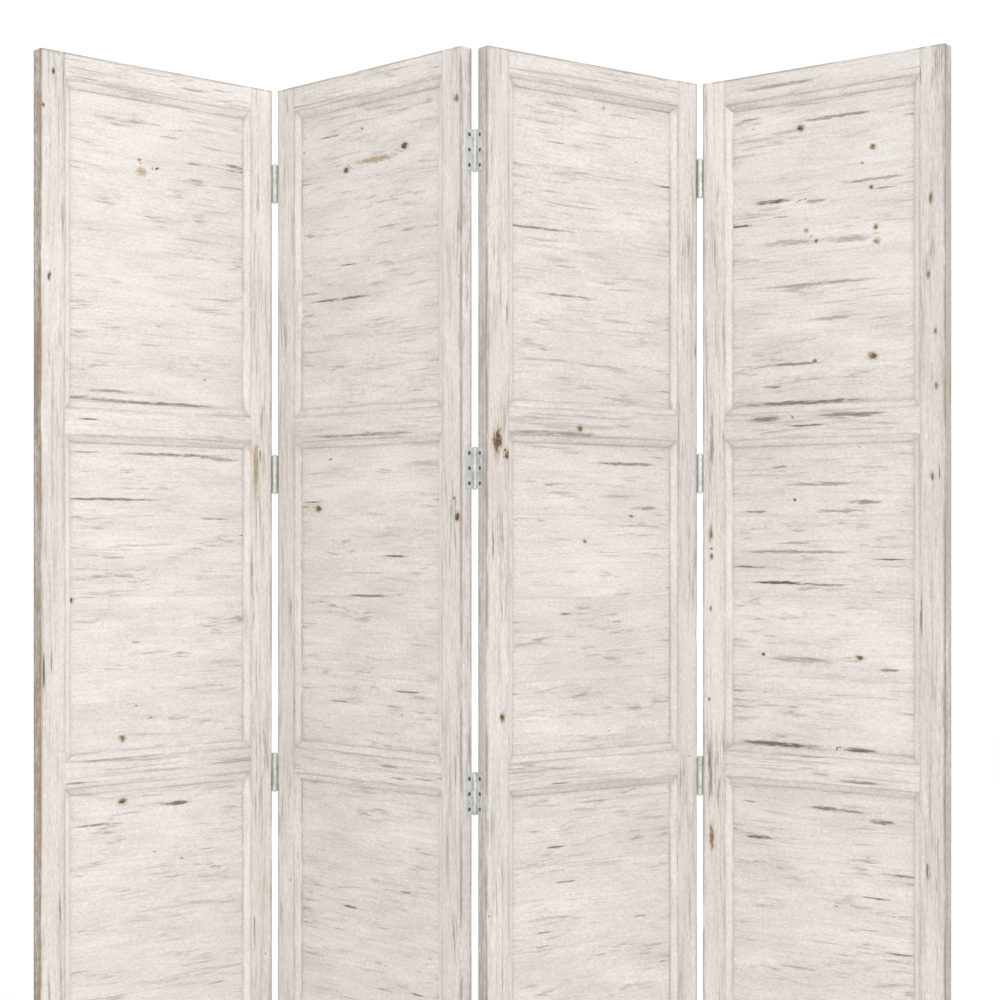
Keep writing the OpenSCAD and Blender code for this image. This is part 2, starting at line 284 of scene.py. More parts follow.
class Section:
    """Outline of a board across its grain, run round from its front's low corner.

    Columns hold the outline's points and outward directions in the plane of the
    board's width and thickness. A groove stands between two neighbouring columns.
    """

    def __init__(self, low, high, arrises, step, grooved=(False, False), groove=(0, 0),
                 seams=(), seam=0.0):
        points, outward = [], []
        self.seam_columns, self.grooves = [], []
        w0, t0 = low
        w1, t1 = high
        near, far = arrises
        sides = (
            ((w0 + near, t0), (w1 - far, t0), (0, -1), False, far),
            ((w1, t0 + far), (w1, t1 - far), (1, 0), grooved[1], far),
            ((w1 - far, t1), (w0 + near, t1), (0, 1), False, near),
            ((w0, t1 - near), (w0, t0 + near), (-1, 0), grooved[0], near),
        )
        for start, end, direction, has_groove, arris in sides:
            start, end = np.array(start), np.array(end)
            length = np.abs(end - start).sum()
            run = (end - start) / length
            if has_groove:
                edges = sorted(abs(edge - start[1]) for edge in groove)
                stops = spaced(0, edges[0], step) + spaced(edges[1], length, step)
            elif seams and direction[0] == 0:
                places = sorted(abs(seam_at - start[0]) for seam_at in seams)
                stops, last = [], 0
                for place in places:
                    stops += spaced(last, place - seam, step) + [place]
                    last = place + seam
                stops += spaced(last, length, step)
            else:
                places, stops = (), spaced(0, length, step)
            for distance in stops[1:-1]:
                if seams and direction[0] == 0 and min(abs(distance - p) for p in places) < 1e-9:
                    self.seam_columns.append(len(points))
                if has_groove and abs(distance - edges[0]) < 1e-9:
                    self.grooves.append(len(points))
                points.append(start + run * distance)
                outward.append(direction)
            centre = end - arris * np.array(direction)
            first = math.atan2(direction[1], direction[0])
            for turn in np.linspace(0, math.pi / 2, 4):
                spoke = np.array((math.cos(first + turn), math.sin(first + turn)))
                points.append(centre + arris * spoke)
                outward.append(spoke)
        self.points, self.outward = np.array(points), np.array(outward)


def sweep_board(section, stations, groove_depth, groove_runs, end_arris):
    """Points, outward directions, faces and a mask of the outer skin of a board.

    Coordinates are (along the grain, width, thickness). groove_runs are the
    stretches along the grain that have the groove, or None for all of it.
    """
    s0, s1 = stations[0], stations[-1]
    rings = []
    for turn in (90, 45, 0):
        inset = end_arris * (1 - math.cos(math.radians(turn)))
        rings.append((s0 + end_arris * (1 - math.sin(math.radians(turn))), inset))
    rings += [(s, 0.0) for s in stations[1:-1]]
    for turn in (0, 45, 90):
        inset = end_arris * (1 - math.cos(math.radians(turn)))
        rings.append((s1 - end_arris * (1 - math.sin(math.radians(turn))), inset))
    columns, ring_count = len(section.points), len(rings)
    where = np.array([s for s, _ in rings])
    insets = np.array([inset for _, inset in rings])
    flat = section.points[None] - section.outward[None] * insets[:, None, None]
    points = np.concatenate([np.broadcast_to(where[:, None, None], (ring_count, columns, 1)), flat], 2)
    points = points.reshape(-1, 3)
    outward = np.zeros((ring_count, columns, 3))
    outward[:, :, 1:] = section.outward
    outward = outward.reshape(-1, 3)
    skin = np.ones(len(points))

    def grooved(ring):
        if groove_runs is None:
            return True
        middle = (where[ring] + where[ring + 1]) / 2
        return any(start < middle < end for start, end in groove_runs)

    open_gap = {column: [grooved(ring) for ring in range(ring_count - 1)] for column in section.grooves}
    faces, extra, loops = [], [], {0: list(range(columns)), ring_count - 1: None}
    loops[ring_count - 1] = [(ring_count - 1) * columns + column for column in range(columns)]
    for column in range(columns):
        after = (column + 1) % columns
        for ring in range(ring_count - 1):
            if column in open_gap and open_gap[column][ring]:
                continue
            row = ring * columns
            faces.append((row + column, row + after, row + columns + after, row + columns + column))
    base = len(points)
    for column, is_open in open_gap.items():
        inward = section.outward[column] * groove_depth
        floor = {}
        for ring in range(ring_count):
            touching = is_open[max(ring - 1, 0):ring + 1]
            if any(touching):
                pair = []
                for side in (column, column + 1):
                    pair.append(base + len(extra))
                    extra.append((where[ring], *(section.points[side] - inward)))
                floor[ring] = pair
        for ring in range(ring_count - 1):
            row, above = ring * columns, (ring + 1) * columns
            if is_open[ring]:
                (c0, d0), (c1, d1) = floor[ring], floor[ring + 1]
                faces.append((row + column, c0, c1, above + column))
                faces.append((c0, d0, d1, c1))
                faces.append((d0, row + column + 1, above + column + 1, d1))
            if ring > 0 and is_open[ring] != is_open[ring - 1]:
                wall = [row + column, row + column + 1, floor[ring][1], floor[ring][0]]
                faces.append(tuple(wall if is_open[ring] else wall[::-1]))
        for ring in (0, ring_count - 1):
            if ring in floor:
                corner = ring * columns + column
                place = loops[ring].index(corner) + 1
                loops[ring][place:place] = floor[ring]
    faces.append(tuple(loops[0][::-1]))
    faces.append(tuple(loops[ring_count - 1]))
    if extra:
        points = np.concatenate([points, np.array(extra)])
        outward = np.concatenate([outward, np.zeros((len(extra), 3))])
        skin = np.concatenate([skin, np.zeros(len(extra))])
    return points, outward, faces, skin


def nearest_mark(points, marks, reach):
    """Each point's place in its nearest mark, in half-lengths and half-widths of the
    mark, with the mark's depth, and a mask that is 1 on points within reach of one."""
    far_away = 9.0
    place = np.full((len(points), 3), far_away)
    near = np.zeros(len(points))
    best = np.full(len(points), np.inf)
    for along, across, half_length, half_width, depth in marks:
        own = (points - (along, across)) / (half_length, half_width)
        distance = np.hypot(own[:, 0], own[:, 1])
        closer = distance < best
        best[closer] = distance[closer]
        place[closer, :2] = own[closer]
        place[closer, 2] = depth
        near[closer] = distance[closer] < reach
    return place, near


def small_marks(random, low, high, count, sizes, stretch):
    """Small knots or checks strewn over a board's face: place along and across the
    grain, half the length and width, and depth."""
    along = random.uniform(low[0], high[0], count)
    across = random.uniform(low[1], high[1], count)
    width = random.uniform(*sizes, count) * MM
    length = width * random.uniform(*stretch, count)
    depth = random.uniform(0.25, 0.8, count)
    return list(zip(along, across, length, width, depth))


def add_object(name, data):
    """A new object in the scene, at the origin."""
    piece = bpy.data.objects.new(name, data)
    bpy.context.scene.collection.objects.link(piece)
    return piece


def shade_edges(piece, degrees):
    """Smooth shading, with sharp edges where two faces meet at a larger angle."""
    piece.data.shade_smooth()
    piece.data.set_sharp_from_angle(angle=math.radians(degrees))


def make_mesh(name, points, faces, attributes):
    """A mesh with a value or a vector on each point for every attribute."""
    mesh = bpy.data.meshes.new(name)
    mesh.from_pydata(points.tolist(), [], faces)
    for key, values in attributes.items():
        kind, field = ("FLOAT_VECTOR", "vector") if values.ndim == 2 else ("FLOAT", "value")
        made = mesh.attributes.new(key, kind, "POINT")
        made.data.foreach_set(field, values.astype(np.float32).ravel())
    return mesh


# A panel's relief fades in over this distance from its bead.
BEAD_FADE = 5 * MM
# Points this close to the border of a leaf are on its narrow edges.
BORDER_REACH = 3 * MM
# The most boards that a panel may be glued up from.
MOST_BOARDS = 8
# Along a frame board the grain changes this much more slowly than along a panel.
FRAME_GRAIN = 0.65
# For each kind of mark: the large ones, how many half-sizes away it still shows, how
# many small ones are strewn on a square metre, their half-widths in millimetres, and
# how many times longer they are than wide.
MARKS = {"knot": (KNOTS, 4.0, 7, (1.0, 2.8), (1.0, 2.4)),
         "check": (CHECKS, 2.6, 26, (0.9, 1.7), (8.0, 24.0))}


def board_piece(name, leaf, node, grain, section_settings, along_step, end_arris,
                groove_runs=None, border=None):
    """A board that fills a CAD node's box, with its grain along or up the leaf.

    A glued-up panel has a border, the width of its edge that its frame and beads hide.
    """
    timber = bpy.context.scene.divider_timber
    place = LeafFrame(leaf)
    low, high = place.box(node)
    order = (grain, UP if grain == ALONG else ALONG, AWAY)
    low, high = low[list(order)], high[list(order)]
    section = Section(low[1:], high[1:], **section_settings)
    for column in section.seam_columns:
        section.points[column] -= section.outward[column] * timber.seam
    stations = spaced(low[0], high[0], along_step)
    if groove_runs:
        edges = [edge for run in groove_runs for edge in run]
        stations = sorted(s for s in stations if min(abs(s - e) for e in edges) > along_step / 4)
        stations = sorted(stations + edges)
    points, outward, faces, skin = sweep_board(section, stations, timber.groove_depth, groove_runs,
                                               end_arris)
    # The arris attribute is the distance to the nearest long edge, or to a panel's border.
    inside = np.minimum(points - low, high - points)
    arris = np.maximum(inside[:, 1], inside[:, 2])
    carve = skin.copy()
    if border is not None:
        arris = np.minimum(inside[:, 0], inside[:, 1]) - border
        carve *= smooth_step(arris, 0, BEAD_FADE)
    # Each board, and each board of a glued-up panel, is cut from another place in the timber.
    seed = sum(ord(letter) * (index + 7) for index, letter in enumerate(node)) % 1000
    random = np.random.default_rng(seed)
    offsets = random.uniform(1, 40, (MOST_BOARDS, 3))
    tones = random.uniform(-1, 1, MOST_BOARDS) * 0.25
    which = np.zeros(len(points), int)
    if border is not None:
        share = (points[:, 1] - low[1]) / (high[1] - low[1])
        which = np.clip((share * timber.panel_boards + 1e-6).astype(int), 0, timber.panel_boards - 1)
    attributes = {
        "grain": points * (FRAME_GRAIN if border is None else 1.0, 1.0, 1.0) + offsets[which],
        "tone": LEAF_WASH[leaf] + STILE_WASH.get(node, 0.0) + tones[which],
        "arris": np.maximum(arris, 0),
        "carve": carve,
    }
    front = points[:, 2] < (low[2] + high[2]) / 2
    area = (high[0] - low[0]) * (high[1] - low[1])
    for key, (marks, reach, crowd, sizes, stretch) in MARKS.items():
        large = []
        for x, z, size_a, size_b, *depth in marks[leaf]:
            at = (x, z) if grain == ALONG else (z, x)
            if low[0] < at[0] < high[0] and low[1] < at[1] < high[1]:
                half = (size_a * size_b, size_a) if key == "knot" else (size_a / 2, size_b / 2)
                large.append((*at, half[0] * MM, half[1] * MM, *(depth or [1.0])))
        place_on, near = np.zeros((len(points), 3)), np.zeros(len(points))
        for face, kept in ((front, large), (~front, [])):
            count = round(area * crowd)
            strewn = kept + small_marks(random, low, high, count, sizes, stretch)
            where, close = nearest_mark(points[face, :2], strewn, reach)
            place_on[face], near[face] = where, close
        attributes[key] = place_on
        attributes[key + "_near"] = near
    back_to_leaf = np.empty_like(points)
    out_in_leaf = np.empty_like(outward)
    for index, axis in enumerate(order):
        back_to_leaf[:, axis] = points[:, index]
        out_in_leaf[:, axis] = outward[:, index]
    if grain == ALONG:
        faces = [face[::-1] for face in faces]
    attributes["outward"] = place.turn(out_in_leaf)
    # Outer is the distance to the leaf's outer arrises, and side marks its narrow edges, with their
    # wear and painted shade.
    _, far = place.box(f"leaf_{leaf}_right_stile")
    to_border = np.minimum(back_to_leaf[:, ALONG], far[ALONG] - back_to_leaf[:, ALONG])
    to_face = np.minimum(back_to_leaf[:, AWAY], far[AWAY] - back_to_leaf[:, AWAY])
    attributes["outer"] = np.maximum(np.minimum(to_border, far[UP] - back_to_leaf[:, UP]), to_face)
    left_half = back_to_leaf[:, ALONG] < far[ALONG] / 2
    bare_and_shade = np.where(left_half, SIDE_WEAR_AND_SHADE[leaf][0], SIDE_WEAR_AND_SHADE[leaf][1])
    attributes["side"] = bare_and_shade * np.abs(out_in_leaf[:, ALONG]) * (to_border < BORDER_REACH)
    return add_object(name, make_mesh(name, place.place(back_to_leaf), faces, attributes))


# ---------------------------------------------------------------- node trees

class Bench:
    """Adds nodes to a shader or geometry tree and joins them up."""

    def __init__(self, tree):
        self.tree = tree

    def add(self, kind, inputs=None, **settings):
        node = self.tree.nodes.new(kind)
        for key, value in settings.items():
            setattr(node, key, value)
        for key, value in (inputs or {}).items():
            self.feed(node.inputs[key], value)
        return node

    def link(self, output, socket):
        self.tree.links.new(output, socket)

    def feed(self, socket, value):
        if isinstance(value, bpy.types.NodeSocket):
            self.link(value, socket)
        else:
            socket.default_value = value

    def math(self, operation, *values, clamp=False):
        node = self.add("ShaderNodeMath", operation=operation, use_clamp=clamp)
        for index, value in enumerate(values):
            self.feed(node.inputs[index], value)
        return node.outputs[0]

    def times(self, *values, **settings):
        return self.math("MULTIPLY", *values, **settings)

    def plus(self, *values):
        return self.math("ADD", *values)

    def minus(self, *values, **settings):
        return self.math("SUBTRACT", *values, **settings)

    def times_plus(self, value, factor, more, **settings):
        return self.math("MULTIPLY_ADD", value, factor, more, **settings)

    def xyz(self, x=0.0, y=0.0, z=0.0):
        return self.add("ShaderNodeCombineXYZ", {"X": x, "Y": y, "Z": z}).outputs[0]

    def parts(self, vector):
        return self.add("ShaderNodeSeparateXYZ", {"Vector": vector}).outputs

    def flat(self, vector):
        return self.vector("MULTIPLY", vector, (1.0, 1.0, 0.0))

    def store(self, geometry, name, kind, value):
        return self.add("GeometryNodeStoreNamedAttribute", {
            "Geometry": geometry, "Name": name, "Value": value}, data_type=kind).outputs[0]

    def transform(self, geometry, **moves):
        given = {key.capitalize(): value for key, value in moves.items()}
        return self.add("GeometryNodeTransform", {"Geometry": geometry, **given}).outputs[0]

    def join(self, pieces):
        node = self.add("GeometryNodeJoinGeometry")
        for piece in pieces:
            self.link(piece, node.inputs[0])
        return node.outputs[0]

    def vector(self, operation, *values, scale=None):
        node = self.add("ShaderNodeVectorMath", operation=operation)
        for index, value in enumerate(values):
            self.feed(node.inputs[index], value)
        if scale is not None:
            self.feed(node.inputs["Scale"], scale)
        return node.outputs["Value" if operation in ("LENGTH", "DOT_PRODUCT") else "Vector"]

    def noise(self, vector, stretch, detail=2.0, roughness=0.5):
        where = self.vector("MULTIPLY", vector, stretch)
        node = self.add("ShaderNodeTexNoise", {"Vector": where, "Scale": 1.0, "Detail": detail,
                                               "Roughness": roughness})
        return node.outputs[0]

    def step(self, value, low, high):
        """0 below low, 1 above high and smooth between; the other way round if low > high."""
        node = self.add("ShaderNodeMapRange", interpolation_type="SMOOTHSTEP")
        self.feed(node.inputs["Value"], value)
        self.feed(node.inputs["From Min"], min(low, high))
        self.feed(node.inputs["From Max"], max(low, high))
        self.feed(node.inputs["To Min"], 0.0 if low < high else 1.0)
        self.feed(node.inputs["To Max"], 1.0 if low < high else 0.0)
        return node.outputs["Result"]

    def mix(self, factor, under, over, blend="MIX"):
        node = self.add("ShaderNodeMix", data_type="RGBA", blend_type=blend)
        for index, value in ((0, factor), (6, under), (7, over)):
            if index and not isinstance(value, bpy.types.NodeSocket):
                value = (*value, 1.0)
            self.feed(node.inputs[index], value)
        return node.outputs[2]

    def group(self, group, inputs):
        node = self.add(self.tree.bl_idname.replace("NodeTree", "NodeGroup"))
        node.node_tree = group
        for key, value in inputs.items():
            self.feed(node.inputs[key], value)
        return node.outputs


def new_group(name, kind, inputs, outputs):
    """A group with named sockets. Inputs are defaults by name, or the type of a socket
    that has none. Outputs are types by name."""
    tree = bpy.data.node_groups.new(name, kind)
    for label, default in inputs.items():
        word = default if isinstance(default, str) else {float: "Float", int: "Int"}[type(default)]
        socket = tree.interface.new_socket(label, in_out="INPUT", socket_type="NodeSocket" + word)
        if word != default:
            socket.default_value = default
    for label, word in outputs.items():
        tree.interface.new_socket(label, in_out="OUTPUT", socket_type="NodeSocket" + word)
    bench = Bench(tree)
    return bench, bench.add("NodeGroupInput").outputs, bench.add("NodeGroupOutput").inputs


def bent_grain(bench, grain):
    """Grain coordinates whose lines wander a little, as in sawn timber."""
    wander = bench.noise(grain, (4.0, 14.0, 8.0), 1.0)
    sideways = bench.times_plus(wander, 0.018, -0.009)
    across = bench.xyz(y=sideways)
    return bench.vector("ADD", grain, across)


def ring_lines(bench, bent):
    """Hard late wood between soft early wood, which brushing has worn down."""
    return bench.noise(bent, (7.0, 170.0, 60.0), 2.0, 0.55)


def streak_clusters(bench, grain, bent):
    """Torn grain gathered in patches: long soft streaks, and short ragged dashes."""
    patch = bench.step(bench.noise(grain, (5.0, 16.0, 9.0), 2.0, 0.55), 0.44, 0.62)
    streaks = bench.step(bench.noise(bent, (8.0, 140.0, 80.0), 5.0, 0.72), 0.52, 0.68)
    soft = bench.times(bench.times(patch, streaks), 0.75)
    torn = bench.step(bench.noise(bent, (7.0, 32.0, 15.0), 2.0, 0.6), 0.52, 0.68)
    dashes = bench.step(bench.noise(bent, (20.0, 170.0, 90.0), 3.0, 0.7), 0.48, 0.70)
    dashes = bench.times(torn, dashes)
    return bench.math("MAXIMUM", soft, dashes)


def mark_profile(bench, place, near):
    """1 in the middle of a mark and 0 outside it, from its place in half-sizes."""
    distance = bench.vector("LENGTH", bench.flat(place))
    return bench.times(bench.step(distance, 1.35, 0.75), near)


def torn_check(bench, place, near, grain):
    """Mask of the ragged checks: a main split with finer ones beside it."""
    ragged = bench.noise(grain, (45.0, 240.0, 60.0), 2.0, 0.6)
    shift = bench.times_plus(ragged, 3.4, -1.7)
    across = bench.xyz(y=shift)
    mark = mark_profile(bench, bench.vector("ADD", place, across), near)
    broken = bench.step(bench.noise(grain, (38.0, 330.0, 90.0), 2.0, 0.6), 0.30, 0.50)
    return bench.times(mark, broken)


def limewash_group():
    """Shader group: how limewash lies on brushed grain."""
    bench, given, out = new_group(
        "Limewash on Grain", "ShaderNodeTree",
        {"Grain": "Vector", "Tone": 0.0, "Coverage": 0.5, "Streaks": 1.0},
        dict.fromkeys(("Wash", "Lines", "Streak", "Speck", "Stain", "Height"), "Float"))
    grain = given["Grain"]
    bent = bent_grain(bench, grain)
    rings = ring_lines(bench, bent)
    fine = bench.noise(bent, (26.0, 620.0, 160.0), 2.0, 0.6)
    cloud = bench.noise(grain, (6.0, 16.0, 9.0), 4.0, 0.6)
    speck = bench.noise(grain, (150.0, 270.0, 150.0), 3.0, 0.7)
    rubbed = bench.times_plus(cloud, 0.6, bench.times(given["Tone"], 0.10))
    rubbed = bench.times_plus(rings, 0.5, rubbed)
    rubbed = bench.times_plus(speck, 0.5, rubbed)
    rubbed = bench.minus(rubbed, given["Coverage"])
    wash = bench.times_plus(rubbed, 3.2, 0.5, clamp=True)
    lines = bench.step(bench.times_plus(fine, 0.5, bench.times(rings, 0.7)), 0.57, 0.74)
    lined = bench.step(bench.noise(grain, (4.0, 24.0, 12.0), 2.0, 0.6), 0.38, 0.60)
    lines = bench.times(lines, lined)
    clusters = streak_clusters(bench, grain, bent)
    bench.feed(out["Wash"], wash)
    bench.feed(out["Lines"], lines)
    bench.feed(out["Streak"], bench.times(clusters, given["Streaks"], clamp=True))
    bench.feed(out["Speck"], speck)
    bench.feed(out["Stain"], bench.step(bench.noise(grain, (5.0, 24.0, 14.0), 3.0, 0.6), 0.50, 0.68))
    height = bench.times_plus(rings, -0.5, bench.times(fine, -0.35))
    bench.feed(out["Height"], bench.times_plus(clusters, -0.8, height))
    return bench.tree


def marks_group():
    """Shader group: knots and checks."""
    bench, given, out = new_group(
        "Knots and Checks", "ShaderNodeTree",
        {"Grain": "Vector", "Knot Place": "Vector", "Knot Near": 0.0, "Check Place": "Vector",
         "Check Near": 0.0}, dict.fromkeys(("Heart", "Halo", "Check"), "Float"))
    ragged = bench.noise(given["Grain"], (110.0, 160.0, 60.0), 2.0, 0.6)
    distance = bench.vector("LENGTH", bench.flat(given["Knot Place"]))
    distance = bench.times_plus(bench.minus(ragged, 0.5), 1.6, distance)
    depth = bench.parts(given["Knot Place"])["Z"]
    heart = bench.times(bench.step(distance, 1.0, 0.45), given["Knot Near"])
    crumbled = bench.step(bench.noise(given["Grain"], (170.0, 230.0, 60.0), 2.0, 0.6), 0.40, 0.58)
    heart = bench.times(heart, bench.times_plus(crumbled, 0.5, 0.5))
    halo = bench.times(bench.step(distance, 1.7, 0.5), given["Knot Near"])
    bench.feed(out["Heart"], bench.times(heart, depth))
    check = torn_check(bench, given["Check Place"], given["Check Near"], given["Grain"])
    depth = bench.parts(given["Check Place"])["Z"]
    bench.feed(out["Check"], bench.times(check, depth))
    distance = bench.vector("LENGTH", bench.flat(given["Check Place"]))
    distance = bench.times_plus(bench.minus(ragged, 0.5), 2.4, distance)
    stain = bench.times(bench.step(distance, 2.2, 0.8), given["Check Near"])
    stain = bench.times(bench.times(stain, depth), 0.32)
    bench.feed(out["Halo"], bench.math("MAXIMUM", halo, stain))
    return bench.tree


def edge_wear_and_shade_group():
    """Shader group: bare rubbed arrises, and grime with painted corner shade beside them."""
    bench, given, out = new_group(
        "Rubbed Edges", "ShaderNodeTree",
        {"Grain": "Vector", "Outer": 1.0, "Arris": 1.0, "Wear Width": 0.003, "Grime Width": 0.012},
        {"Wear": "Float", "Grime": "Float"})
    patch = bench.noise(given["Grain"], (14.0, 60.0, 60.0), 3.0, 0.6)
    spread = bench.step(patch, 0.34, 0.56)
    for label, width, distance in (("Wear", "Wear Width", "Outer"), ("Grime", "Grime Width", "Arris")):
        share = bench.math("DIVIDE", given[distance], given[width])
        fade = bench.minus(1.0, share, clamp=True)
        bench.feed(out[label], bench.times(fade, spread))
    return bench.tree


def attribute(bench, name, output):
    """A piece's own attribute, in a material."""
    return bench.add("ShaderNodeAttribute", attribute_name=name).outputs[output]


def new_material(name):
    """The bench and the Principled BSDF of a new material."""
    material = bpy.data.materials.new(name)
    material.use_nodes = True
    return Bench(material.node_tree), material.node_tree.nodes["Principled BSDF"]


def pine_material(name, coverage, streaks, lines, wear_width, grime_and_shade_width, wear, grime_and_shade, bump):
    """Limewashed pine, from the groups above."""
    finish = bpy.context.scene.divider_finish
    groups = bpy.data.node_groups
    bench, shader = new_material(name)
    grain = attribute(bench, "grain", "Vector")
    tone = attribute(bench, "tone", "Fac")
    lime = bench.group(groups["Limewash on Grain"], {"Grain": grain, "Tone": tone,
                                                     "Coverage": coverage, "Streaks": streaks})
    marks = bench.group(groups["Knots and Checks"], {
        "Grain": grain, "Knot Place": attribute(bench, "knot", "Vector"),
        "Knot Near": attribute(bench, "knot_near", "Fac"),
        "Check Place": attribute(bench, "check", "Vector"),
        "Check Near": attribute(bench, "check_near", "Fac")})
    edges = bench.group(groups["Rubbed Edges"], {
        "Grain": grain, "Outer": attribute(bench, "outer", "Fac"),
        "Arris": attribute(bench, "arris", "Fac"),
        "Wear Width": wear_width, "Grime Width": grime_and_shade_width})
    colour = bench.mix(lime["Wash"], finish.thin_wash, finish.wash)
    # side lays bare wood colour as wear and painted shade on the leaves' narrow edges, and as painted
    # shade on the beads' ledge and underside strips.
    side = attribute(bench, "side", "Fac")
    patchy = bench.minus(1.15, lime["Wash"], clamp=True)
    worn_and_shaded = bench.times_plus(side, 0.35, bench.times(edges["Wear"], wear))
    dark = bench.math("MAXIMUM", marks["Heart"], marks["Check"])
    # Grime and Shade darkens beside arrises, mitres and bead edges towards wood colour: grime, and
    # painted shade in the corners by the openings and beads.
    for mask, strength, coat in (
            (lime["Stain"], 0.09, finish.knot), (lime["Lines"], lines, finish.wood_and_shade),
            (lime["Streak"], 0.66, finish.wood_and_shade), (edges["Grime"], grime_and_shade, finish.wood_and_shade),
            (side, patchy, finish.bare_and_shade), (worn_and_shaded, 1.0, finish.bare_and_shade),
            (marks["Halo"], 0.7, finish.knot), (dark, 0.96, finish.check)):
        colour = bench.mix(bench.times(mask, strength), colour, coat)
    shade = bench.times_plus(tone, 0.04, 0.80)
    shade = bench.times_plus(lime["Speck"], 0.32, shade)
    light = bench.xyz(shade, shade, shade)
    colour = bench.mix(1.0, colour, light, "MULTIPLY")
    bench.feed(shader.inputs["Base Color"], colour)
    rough = bench.times_plus(lime["Wash"], 0.18, 0.66)
    bench.feed(shader.inputs["Roughness"], rough)
    shader.inputs["Specular IOR Level"].default_value = 0.22
    height = bench.times_plus(dark, -1.2, lime["Height"])
    relief = bench.add("ShaderNodeBump", {"Strength": bump, "Distance": 0.0012, "Height": height})
    bench.feed(shader.inputs["Normal"], relief.outputs[0])


def metal_material(name, colour, dark, roughness):
    """Dull plated metal with stains, in its own coordinates."""
    bench, shader = new_material(name)
    where = bench.add("ShaderNodeTexCoord").outputs["Object"]
    stain = bench.step(bench.noise(where, (70.0, 70.0, 45.0), 3.0, 0.6), 0.40, 0.66)
    rolled = bench.noise(where, (900.0, 900.0, 120.0), 2.0, 0.5)
    tint = bench.mix(bench.times(stain, 0.55), colour, dark)
    tint = bench.mix(bench.times(rolled, 0.25), tint, dark)
    bench.feed(shader.inputs["Base Color"], tint)
    bench.feed(shader.inputs["Roughness"], bench.times_plus(stain, 0.22, roughness))
    shader.inputs["Metallic"].default_value = 0.75
    height = bench.plus(rolled, bench.times(stain, 0.5))
    relief = bench.add("ShaderNodeBump", {"Strength": 0.35, "Distance": 0.0002, "Height": height})
    bench.feed(shader.inputs["Normal"], relief.outputs[0])


def dowel_material(name, colour):
    """Bare beech with short level flecks."""
    bench, shader = new_material(name)
    where = bench.add("ShaderNodeTexCoord").outputs["Object"]
    flecks = bench.noise(where, (260.0, 260.0, 700.0), 3.0, 0.6)
    paler = tuple(min(1.0, value * 1.25) for value in colour)
    bench.feed(shader.inputs["Base Color"], bench.mix(flecks, paler, colour))
    bench.feed(shader.inputs["Roughness"], bench.times_plus(flecks, 0.2, 0.5))


# ---------------------------------------------------------------- geometry trees

def geometry_tree(name, inputs):
    """An empty geometry tree with named inputs."""
    return new_group(name, "GeometryNodeTree", inputs, {"Geometry": "Geometry"})


def close_tree(bench, geometry, material, out):
    """Ends a geometry tree with plain geometry in its material."""
    realized = bench.add("GeometryNodeRealizeInstances", {"Geometry": geometry})
    coloured = bench.add("GeometryNodeSetMaterial", {"Geometry": realized.outputs[0],
                                                     "Material": material})
    bench.feed(out["Geometry"], coloured.outputs[0])


def named(bench, name, kind):
    """A mesh's own attribute, in a geometry tree."""
    node = bench.add("GeometryNodeInputNamedAttribute", {"Name": name}, data_type=kind)
    return node.outputs["Attribute"]


def timber_tree():
    """Geometry tree: wears a plain board's skin into rings, checks and pits at the knots."""
    bench, given, out = geometry_tree("Brushed Timber", {
        "Geometry": "Geometry", "Ripple": 0.0004, "Split": 0.0016, "Material": "Material"})
    grain = named(bench, "grain", "FLOAT_VECTOR")
    bent = bent_grain(bench, grain)
    rings = bench.minus(ring_lines(bench, bent), 0.30, clamp=True)
    check = torn_check(bench, named(bench, "check", "FLOAT_VECTOR"),
                       named(bench, "check_near", "FLOAT"), grain)
    pit = mark_profile(bench, named(bench, "knot", "FLOAT_VECTOR"), named(bench, "knot_near", "FLOAT"))
    open_wood = bench.math("MAXIMUM", check, bench.times(pit, 0.5))
    split = bench.times(open_wood, given["Split"])
    depth = bench.times_plus(rings, given["Ripple"], split)
    depth = bench.times(depth, named(bench, "carve", "FLOAT"))
    outward = named(bench, "outward", "FLOAT_VECTOR")
    inward = bench.vector("SCALE", outward, scale=bench.times(depth, -1.0))
    moved = bench.add("GeometryNodeSetPosition", {"Geometry": given["Geometry"], "Offset": inward})
    close_tree(bench, moved.outputs[0], given["Material"], out)
    return bench.tree


def set_inputs(modifier, values):
    """Sets a modifier's inputs from their names."""
    for item in modifier.node_group.interface.items_tree:
        if item.item_type == "SOCKET" and item.in_out == "INPUT" and item.name in values:
            modifier[item.identifier] = values[item.name]


def settle(piece, tree, values):
    """Gives a piece the result of a geometry tree as a plain mesh."""
    modifier = piece.modifiers.new(tree.name, "NODES")
    modifier.node_group = tree
    set_inputs(modifier, values)
    evaluated = piece.evaluated_get(bpy.context.evaluated_depsgraph_get())
    mesh = bpy.data.meshes.new_from_object(evaluated)
    mesh.name = piece.name
    piece.modifiers.remove(modifier)
    piece.data = mesh
    return piece


def deliver(piece, body, slot, *nodes):
    """Hands a finished piece to its body and hides the nodes that it stands for. The slot is not used.
    """
    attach(piece, body)
    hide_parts(*nodes)


def groove_edges(low, high):
    """Where the groove for the panels starts and ends across a frame board's thickness."""
    middle = (low[AWAY] + high[AWAY]) / 2
    half = bpy.context.scene.divider_timber.groove_width / 2
    return middle - half, middle + half


def brush(piece, material, node, leaf, slot):
    """Wears a board's skin and delivers it."""
    timber = bpy.context.scene.divider_timber
    settle(piece, bpy.data.node_groups["Brushed Timber"], {
        "Ripple": timber.ripple, "Split": timber.split, "Material": bpy.data.materials[material]})
    shade_edges(piece, 50)
    deliver(piece, f"leaf_{leaf}", slot, node)


# ---------------------------------------------------------------- operators

